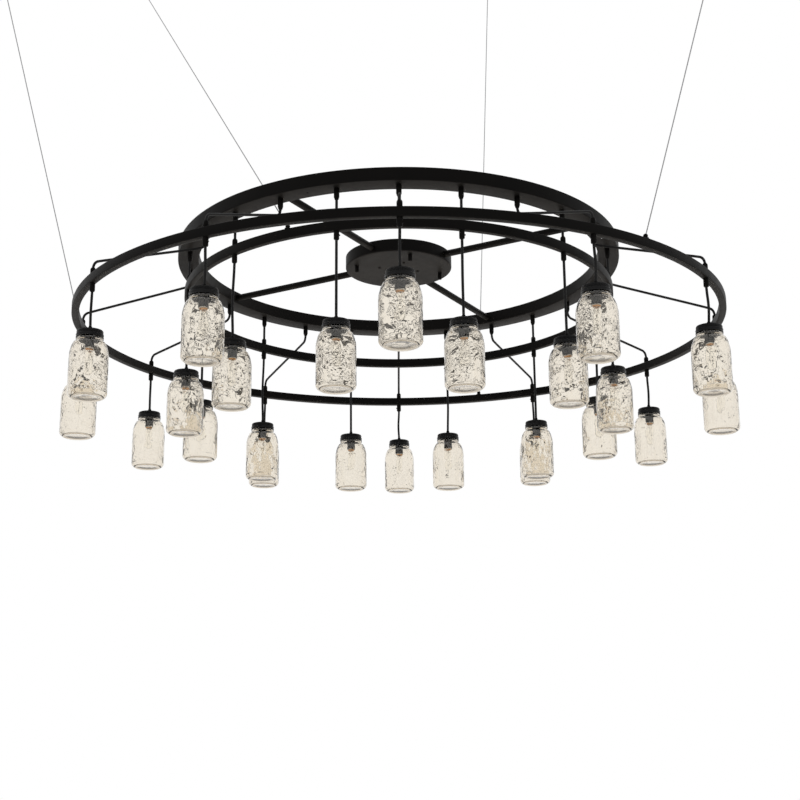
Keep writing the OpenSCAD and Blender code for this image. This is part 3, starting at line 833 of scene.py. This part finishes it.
def ceiling_grip(coat):
    """Cord grip with its tapered nose, its nipple and a hexagonal lock nut, z = 0 under the sheet."""
    r, bore, nose = GRIP_D / 2, GRIP_BORE_D / 2, GRIP_NOSE_D / 2
    end = -CEILING_GRIP_LEN - CEILING_GRIP_NOSE
    outline = [(bore, end), (nose, end), (nose + 0.0004, end + 0.0006)]
    outline += [(r - 0.0006, -CEILING_GRIP_LEN - 0.0004), (r, -CEILING_GRIP_LEN + 0.0006)]
    for z in (-0.0185, -0.0165):
        outline += [(r, z - 0.0006), (r - 0.0005, z), (r, z + 0.0006)]
    outline += [(r, -0.0014), (r - 0.0005, -GAP), (NIPPLE_D / 2, -GAP)]
    outline += [(NIPPLE_D / 2, NIPPLE_REACH - 0.0005), (NIPPLE_D / 2 - 0.0004, NIPPLE_REACH)]
    outline += [(bore, NIPPLE_REACH)]
    grip = turned("grip_model", outline, 32, coat, closed=True)
    low = PAN_WALL + GAP
    nut_bore, nut_r = NIPPLE_D / 2 + 0.0009, LOCK_NUT_D / 2
    sides = [(nut_bore, low), (nut_r, low), (nut_r, low + LOCK_NUT_T), (nut_bore, low + LOCK_NUT_T)]
    nut = turned("lock_nut_model", sides, 6, coat, closed=True, rounded=0.0004, angle=20)
    return joined("ceiling_grip_model", [grip, nut])


def top_ring_grip(coat):
    """Grip that stands on a ring, z = 0 on the ring's top."""
    r, bore, socket = GRIP_D / 2, GRIP_BORE_D / 2, NIPPLE_D / 2 + GAP
    top, inside = TOP_GRIP_LEN, NIPPLE_REACH + GAP
    outline = [(socket, GAP), (r - 0.0004, GAP), (r, 0.0008)]
    outline += [(r, 0.0045), (r - 0.0005, 0.005), (r, 0.0055)]
    outline += [(r, top - 0.0042), (r - 0.0004, top - 0.003), (r - 0.0014, top - 0.0004)]
    outline += [(r - 0.002, top)]
    outline += [(bore, top), (bore, inside), (socket, inside)]
    return turned("top_grip_model", outline, 32, coat, closed=True)


def low_ring_grip(height, coat):
    """Grip that hangs under a ring of that height, with its nipple up through the ring."""
    r, bore, nipple = GRIP_D / 2, GRIP_BORE_D / 2, NIPPLE_D / 2
    low, under = -height - LOW_GRIP_LEN, -height - GAP
    outline = [(bore, low), (r - 0.0015, low), (r - 0.0004, low + 0.0011), (r, low + 0.0022)]
    outline += [(r, under - 0.0055), (r - 0.0005, under - 0.005), (r, under - 0.0045)]
    outline += [(r, under - 0.0006), (r - 0.0004, under), (nipple, under)]
    outline += [(nipple, NIPPLE_REACH), (bore, NIPPLE_REACH)]
    return turned("low_grip_model", outline, 32, coat, closed=True)


def side_screw(height, coat):
    """Set screw in the side of a lower grip, with a hexagonal socket in its end."""
    r, bore = SIDE_SCREW_D / 2, GRIP_BORE_D / 2
    start, end = bore + GAP, GRIP_D / 2 + SIDE_SCREW_SHOW
    outline = [(0, start), (r - 0.0003, start), (r, start + 0.0003), (r, end - 0.0004), (r - 0.0004, end)]
    outline += [(0.0012, end), (0.0010, end - 0.0012), (0, end - 0.0014)]
    screw = turned("side_screw_model", outline, 24, coat)
    sideways = Matrix.Rotation(math.radians(90), 4, "Y")
    return carried(screw, Matrix.Translation((0, 0, -height - LOW_GRIP_LEN / 2)) @ sideways)


def grips(coat):
    angles = [LAMP_STEP / 2 * k for k in range(2 * LAMPS_ON_RING)]
    places = [at_angle(angle, CEILING_MID_R, -CEILING_RING_H) for angle in angles]
    uppers = repeated("ceiling_cord_grips", ceiling_grip(coat), places)
    fixed(uppers, "ceiling_grips")
    tops, lows, screws = [], [], []
    for outer, radius, height in ((True, OUTER_MID_R, OUTER_RING_H), (False, INNER_MID_R, INNER_RING_H)):
        first = 1 if outer else LAMPS_ON_RING + 1
        places = [
            ring_place(outer) @ at_angle(lamp_angle(number), radius)
            for number in range(first, first + LAMPS_ON_RING)
        ]
        tops.append(repeated("tops", top_ring_grip(coat), places))
        lows.append(repeated("lows", low_ring_grip(height, coat), places))
        screws.append(repeated("screws", side_screw(height, coat), places))
    fixed(joined("ring_grips_upper", tops), "ring_grips")
    fixed(joined("ring_grips_lower", lows), "ring_grips")
    fixed(joined("grip_side_screws", screws), "ring_grips")


# Lamps: every model is drawn with z = 0 on the jar lid's top


def jar_cap(lacquer):
    """Screw band with its ridges and rolled edge, and the lid plate in it."""
    low_r = BAND_D / 2
    up_r = low_r - BAND_STEP_W
    groove = up_r - 0.0006
    outline = [(up_r - BAND_LIP, -0.0001), (up_r - 0.0024, 0), (up_r - 0.0012, -0.0003)]
    outline += [(groove, -0.0012)]
    for z in (-0.0026, -0.0050, -0.0074):
        outline += [(groove, z + 0.0009), (up_r, z + 0.0002), (up_r, z - 0.0002), (groove, z - 0.0009)]
    outline += [(groove, -0.0090), (low_r - 0.0012, -0.0098), (low_r - 0.0002, -0.0106)]
    outline += [(low_r, -0.0114), (low_r - 0.0006, -0.0126), (low_r - 0.0006, -0.0166)]
    outline += arc(low_r - 0.0008, -BAND_H + 0.0008, 0.0008, 60, -180, 6)
    outline += [(low_r - 0.0017, -0.0160), (low_r - 0.0017, -0.0118), (up_r - 0.0014, -0.0100)]
    outline += [(up_r - 0.0014, -0.0020), (up_r - BAND_LIP, -0.0010)]
    band = turned("band_model", outline, 96, lacquer, closed=True, angle=40)
    hole = NIPPLE_D / 2 + GAP
    top = -LID_SEAT
    pressed = [(hole, 0), (0.011, 0), (0.0118, 0.0004), (0.0132, 0.0004), (0.014, 0), (0.0205, 0)]
    pressed += [(0.0212, 0.0004), (0.0224, 0.0004), (0.0231, 0), (LID_R, 0)]
    outline = [(radius, top + up) for radius, up in pressed]
    outline += [(radius, top - LID_T + up) for radius, up in reversed(pressed)]
    lid = turned("lid_model", outline, 64, lacquer, closed=True, angle=40)
    return joined("jar_cap_model", [band, lid])


def bushing(coat):
    """Ribbed strain relief that tapers from the lid up to the cord."""
    r, tip, bore, hole = BUSHING_D / 2, GRIP_NOSE_D / 2, CORD_D / 2 + GAP, NIPPLE_D / 2 + GAP
    low, foot = -LID_SEAT + GAP, 0.0018
    outline = [(hole, low), (r - 0.0004, low), (r, low + 0.0005), (r, foot)]
    ribs = 4
    for k in range(ribs):
        share = k / ribs
        z = foot + (BUSHING_H - foot) * share
        at = r - (r - tip) * share
        outline += [(at - 0.0003, z + 0.0003), (at - 0.0010, z + 0.0008), (at - 0.0005, z + 0.0016)]
    outline += [(tip, BUSHING_H - 0.0005), (tip - 0.0004, BUSHING_H), (bore, BUSHING_H)]
    outline += [(bore, HOLDER_NECK), (hole, HOLDER_NECK - LID_SEAT + GAP)]
    return turned("bushing_model", outline, 32, coat, closed=True, angle=40)


def lampholder(moulding, glaze, coat):
    """Moulded lampholder with its shoulder, grip ribs and lower lip, a pale ring in its mouth and the
    bushing above it."""
    out_r, in_r, hole = HOLDER_D / 2, HOLDER_D / 2 - HOLDER_WALL, CORD_D / 2 + GAP
    top, low = -HOLDER_TOP, -HOLDER_LEN
    neck_top = -LID_SEAT + HOLDER_NECK
    outline = [(hole, neck_top), (NIPPLE_D / 2, neck_top), (NIPPLE_D / 2, top), (out_r - 0.0014, top)]
    outline += [(out_r - 0.0003, top - 0.0006), (out_r, top - 0.0016)]
    outline += [(out_r, -0.0180), (out_r - 0.0007, -0.0185), (out_r - 0.0007, -0.0200), (out_r, -0.0205)]
    outline += [(out_r, low + 0.0035), (out_r - 0.0004, low + 0.0031), (out_r - 0.0004, low + 0.0024)]
    outline += [(out_r, low + 0.0020), (out_r, low + 0.0006), (out_r - 0.0006, low)]
    outline += [(in_r + 0.0012, low), (in_r, low + 0.001), (in_r, low + CAP_LEN), (hole, low + CAP_LEN)]
    body = turned("holder_model", outline, 48, moulding, closed=True, angle=35)
    inner, outer = CAP_D / 2 + GAP / 2, out_r - 0.0006
    outline = [(inner, low + 0.0007), (inner, low - 0.0010), (inner + 0.0004, low - 0.0015)]
    outline += [(outer - 0.0004, low - 0.0015), (outer, low - 0.0010), (outer, low - 0.00005)]
    outline += [(inner + 0.001, low + 0.0007)]
    rim = turned("rim_model", outline, 48, glaze, closed=True, angle=40)
    return joined("lampholder_model", [body, rim, bushing(coat)])


def jar_outline(inset):
    """Half outline of the jar's side, drawn in by inset, from the neck down to the heel."""
    body_r, neck_r, bead_r = JAR_D / 2, LID_R - 0.001, BAND_D / 2 - 0.0003
    side = []
    if inset == 0:
        for k in range(2):
            z = -0.005 - 0.004 * k
            side += [(neck_r, z), (neck_r + 0.0009, z - 0.0008)]
            side += [(neck_r + 0.0009, z - 0.0016), (neck_r, z - 0.0024)]
    side += [(neck_r - inset, -0.0164), (neck_r + 0.0006 - inset, -0.0184)]
    side += arc(bead_r - 0.0026 - inset, -0.0223, 0.0026, 66, -56, 6)
    fillet = inset / 2
    side += [(bead_r - 0.0015 - inset, -0.0258 - fillet), (bead_r - 0.0011 - inset, -0.0270 - fillet)]
    side += [(bead_r + 0.0006 - inset, -0.0286 - fillet)]
    side += arc(body_r - SHOULDER_CURVE, SHOULDER_Z, SHOULDER_CURVE - inset, SHOULDER_ANGLE - 3, 0, 9)
    straight = 10
    low = -JAR_H + HEEL_R
    side += [(body_r - inset, SHOULDER_Z + (low - SHOULDER_Z) * k / straight) for k in range(1, straight)]
    return side + arc(body_r - HEEL_R, low, HEEL_R - inset, 0, -65, 7)


def jar(glass):
    """Quart jar: threads and bead at its neck, round shoulder, straight body, heel and pushed-up base."""
    outside, inside = jar_outline(0), jar_outline(GLASS_T)
    neck_r = LID_R - 0.001
    foot = JAR_D / 2 - HEEL_R + 0.003
    rim = -HOLDER_TOP
    base = [(0, -JAR_H + 0.0025), (0.016, -JAR_H + 0.0022), (foot - 0.010, -JAR_H + 0.0021)]
    base += [(foot - 0.006, -JAR_H + 0.0012), (foot - 0.0035, -JAR_H), (foot - 0.001, -JAR_H)]
    base += [(foot, -JAR_H + 0.0002)]
    lip = [(neck_r, rim - 0.0006), (neck_r - 0.0005, rim)]
    lip += [(neck_r - GLASS_T + 0.0006, rim), (neck_r - GLASS_T, rim - 0.0006)]
    floor = [(foot - 0.006, -JAR_H + 0.0056), (foot - 0.012, -JAR_H + 0.0052), (0, -JAR_H + 0.0055)]
    piece = turned("jar_model", base + outside[::-1] + lip + inside + floor, 112, glass, angle=0)
    make_uneven(piece)
    smooth(piece, 50)
    mark_dimples(piece)
    return piece


def make_uneven(piece):
    """Lets the jar's body wall wander a little, the outside more than the inside."""
    heel, shoulder, wall = -JAR_H + 0.012, -0.045, JAR_D / 2 - 0.012
    skin, skin_top, skin_low = JAR_D / 2 - 0.0015, -0.066, heel + 0.001
    waves = piece.vertex_groups.new(name="wall")
    for vertex in piece.data.vertices:
        reach, z = math.hypot(vertex.co.x, vertex.co.y), vertex.co.z
        if heel < z < shoulder and reach > wall:
            outside = reach > skin or z > skin_top or z < skin_low
            waves.add([vertex.index], 1.0 if outside else 0.5, "REPLACE")
    mottle = bpy.data.textures.new("pressed glass waves", "CLOUDS")
    mottle.noise_scale = 0.016
    mottle.noise_depth = 2
    settings = {"texture": mottle, "strength": 0.0005, "mid_level": 1, "vertex_group": waves.name}
    modified(piece, "uneven glass", "DISPLACE", **settings)


def mark_dimples(piece):
    """Marks where the glass is dimpled: all of the body's outside, and the shoulder in part."""
    heel, body_top, skin = -JAR_H + 0.012, SHOULDER_Z + 0.004, JAR_D / 2 - 0.0015
    neck, neck_r, on_shoulder = -0.030, LID_R + 0.002, 0.35
    dimpled = piece.data.attributes.new(DIMPLED, "FLOAT", "POINT")
    for vertex, share in zip(piece.data.vertices, dimpled.data):
        reach, z = math.hypot(vertex.co.x, vertex.co.y), vertex.co.z
        if heel < z < body_top:
            share.value = 1.0 if reach > skin else 0.0
        elif body_top <= z < neck and reach > neck_r:
            share.value = on_shoulder


def bulb(glass, brass, wire):
    """Tubular bulb with its screw cap, glass stem and hairpin filament."""
    cap_r, cap_low, cap_top = CAP_D / 2, -HOLDER_LEN - CAP_SHOW, -HOLDER_LEN + CAP_LEN
    glass_r, glass_low = BULB_D / 2, -HOLDER_LEN - BULB_LEN
    seat_r = cap_r - 0.0012
    outside = [(0, glass_low)] + arc(0, glass_low + glass_r, glass_r, -82, 0, 8)
    outside += [(glass_r, cap_low - 0.012), (glass_r - 0.0008, cap_low - 0.007)]
    outside += [(seat_r + 0.0009, cap_low - 0.0035), (seat_r, cap_low - 0.001)]
    outside += [(seat_r, cap_low + 0.0025)]
    inside = [(max(radius - BULB_WALL, 0), height) for radius, height in outside]
    inside[0] = (0, glass_low + BULB_WALL)
    envelope = turned("envelope_model", outside + inside[::-1], 40, glass, angle=60)
    outline = [(0, cap_top - 0.002), (cap_r - 0.004, cap_top - 0.002), (cap_r - 0.0018, cap_top - 0.0055)]
    for k in range(4):
        z = cap_top - 0.007 - 0.0035 * k
        outline += [(cap_r, z), (cap_r, z - 0.0008), (cap_r - 0.0007, z - 0.0018)]
    outline += [(cap_r, cap_low + 0.0035), (cap_r, cap_low + 0.0004), (cap_r - 0.0003, cap_low)]
    outline += [(cap_r - 0.0008, cap_low), (cap_r - 0.0008, cap_low + 0.003), (0, cap_low + 0.003)]
    cap = turned("cap_model", outline, 40, brass, angle=40)
    stem_top, stem_low = cap_low + 0.0028, cap_low - 0.020
    outline = [(0, stem_top), (0.0062, stem_top), (0.0058, cap_low - 0.004), (0.0030, cap_low - 0.010)]
    outline += [(0.0022, cap_low - 0.016), (0.0018, stem_low), (0, stem_low - 0.0006)]
    stem = turned("stem_model", outline, 20, glass, angle=60)
    wires = []
    reach, drop, thin = 0.0052, 0.020, 0.0005
    for side in (-1, 1):
        line = [(side * 0.001, 0, stem_low + 0.002), (side * 0.002, 0, stem_low - 0.004)]
        line += [(side * reach, 0, stem_low - 0.010), (side * reach, 0, stem_low - 0.012)]
        wires.append(tube("lead", [Vector(p) for p in line], thin, wire, 1))
    loops, sway = 7, 0.0012
    hair = []
    for k in range(4 * loops + 1):
        t = k / (4 * loops)
        swing = sway * math.sin(math.pi * k / 2)
        low = stem_low - 0.012 - drop * math.sin(math.pi * t)
        hair.append(Vector((reach * math.cos(math.pi * t), swing, low)))
    wires.append(tube("hair", hair, thin, wire, 1))
    leads = joined("filament_model", wires)
    only(leads)
    bpy.ops.object.convert(target="MESH")
    return joined("bulb_model", [envelope, cap, stem, bpy.context.object])


def lamps(jacket, coat):
    """Models one lamp, and hangs a copy of each of its pieces from every pendant's own place."""
    holder = lampholder(black_moulding(), glazed_rim(), coat)
    light_bulb = bulb(clear_bulb_glass(), lamp_brass(), filament_wire())
    models = {
        "jar_lid": (jar_cap(black_lid_lacquer()), "black_lid", "jar"),
        "socket": (holder, "black_lid", "lamp"),
        "jar": (jar(pressed_jar_glass()), "jar_glass", "jar"),
        "bulb": (light_bulb, "jar_glass", "lamp"),
    }
    turn_step = 137.5
    for number in range(1, 2 * LAMPS_ON_RING + 1):
        tag = f"{number:02d}"
        low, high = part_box(f"jar_{tag}")
        top = Vector(((low.x + high.x) / 2, (low.y + high.y) / 2, high.z))
        turned_by = Matrix.Rotation(math.radians(turn_step * number), 4, "Z")
        for name, (model, slot, node) in models.items():
            piece = copied(model, f"{name}_{tag}", Matrix.Translation(top) @ turned_by)
            fitted(piece, f"pendant_{tag}", slot, f"{node}_{tag}")
        pivot = Vector((top.x, top.y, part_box(f"lamp_{tag}")[1].z - CORD_D / 2))
        drop_cord(number, pivot, pivot.z - top.z + HOLDER_NECK, jacket)
    for model, _, _ in models.values():
        bpy.data.objects.remove(model)


# Studio

# Each light: its place, what it faces, its width, its power and its colour
LIGHTS = {
    "key": ((-3.2, -3.4, 1.6), (0, 0, -0.3), 2.2, 21, (1, 0.98, 0.95)),
    "side": ((3.8, -1.6, 0.4), (0, 0, -0.3), 1.8, 8, (0.97, 0.98, 1)),
    "underneath": ((0.1, 0.9, -2.3), (0, 0.2, 0), 2.6, 230, (1, 0.94, 0.87)),
}


def make_studio():
    """White surroundings that the camera and clear glass see, with a softer grey for gloss and shade."""
    shade, gloss_share, bounces = 0.1, 0.8, 20
    scene = bpy.context.scene
    scene.view_settings.view_transform = "Standard"
    scene.cycles.max_bounces = bounces
    scene.cycles.transmission_bounces = bounces
    world = bpy.data.worlds.new("studio")
    scene.world = world
    world.use_nodes = True
    nodes, links = world.node_tree.nodes, world.node_tree.links
    soft = nodes["Background"]
    soft.inputs["Color"].default_value = (0.93, 0.94, 1.0, 1)
    soft.inputs["Strength"].default_value = shade
    white = nodes.new("ShaderNodeBackground")
    white.inputs["Strength"].default_value = 1.0
    white.inputs["Color"].default_value = (1, 1, 1, 1)
    path = nodes.new("ShaderNodeLightPath")
    seen = nodes.new("ShaderNodeMath")
    seen.operation = "MAXIMUM"
    mix = nodes.new("ShaderNodeMixShader")
    links.new(path.outputs["Is Camera Ray"], seen.inputs[0])
    links.new(path.outputs["Is Transmission Ray"], seen.inputs[1])
    gloss = nodes.new("ShaderNodeMath")
    gloss.operation = "MULTIPLY_ADD"
    gloss.inputs[1].default_value = gloss_share
    links.new(path.outputs["Is Glossy Ray"], gloss.inputs[0])
    links.new(seen.outputs["Value"], gloss.inputs[2])
    links.new(gloss.outputs["Value"], mix.inputs["Fac"])
    links.new(soft.outputs["Background"], mix.inputs[1])
    links.new(white.outputs["Background"], mix.inputs[2])
    links.new(mix.outputs["Shader"], nodes["World Output"].inputs["Surface"])


def pale_floor():
    """A plain pale floor, well below the camera, with a faint glow that clear glass and shade pick up."""
    side, height = 16, -2.4
    bpy.ops.mesh.primitive_plane_add(size=side, location=(0, 0, height))
    floor = bpy.context.object
    floor.name = "studio_floor"
    glow = (1, 0.98, 0.95, 1)
    paper = Finish("pale paper", Roughness=0.9, Emission_Color=glow, Emission_Strength=0.6)
    dark, light = (0.80, 0.79, 0.77), (0.83, 0.82, 0.80)
    paper.drive("Base Color", paper.ramp(paper.noise(1.5, 2), (0.3, dark), (0.7, light)))
    floor.data.materials.append(paper.material)


def soft_light(name, place, target, size, power, colour):
    """A round area light that neither clear glass nor gloss shows."""
    data = bpy.data.lights.new(name, "AREA")
    data.shape = "DISK"
    data.size = size
    data.energy = power
    data.color = colour
    light = bpy.data.objects.new(name, data)
    bpy.context.scene.collection.objects.link(light)
    light.visible_transmission = False
    light.visible_glossy = False
    light.location = place
    light.rotation_euler = (Vector(target) - Vector(place)).to_track_quat("-Z", "Y").to_euler()


def dress():
    make_camera()
    coat, jacket = black_powder_coat(), black_cord_jacket()
    feed_cords(jacket)
    suspension_cables(galvanised_wire(), nickel_plate(), coat)
    ceiling_ring(coat)
    hub(coat)
    spokes(coat)
    lamp_ring("outer_lamp_ring", "outer_ring", True, OUTER_MID_R, OUTER_RING_W, OUTER_RING_H, coat)
    lamp_ring("inner_lamp_ring", "inner_ring", False, INNER_MID_R, INNER_RING_W, INNER_RING_H, coat)
    grips(coat)
    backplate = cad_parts["hub_backplate"].data
    backplate.materials.clear()
    backplate.materials.append(zinc_plate())
    lamps(jacket, coat)
    pale_floor()
    for name, settings in LIGHTS.items():
        soft_light(name, *settings)
    make_studio()


dress()
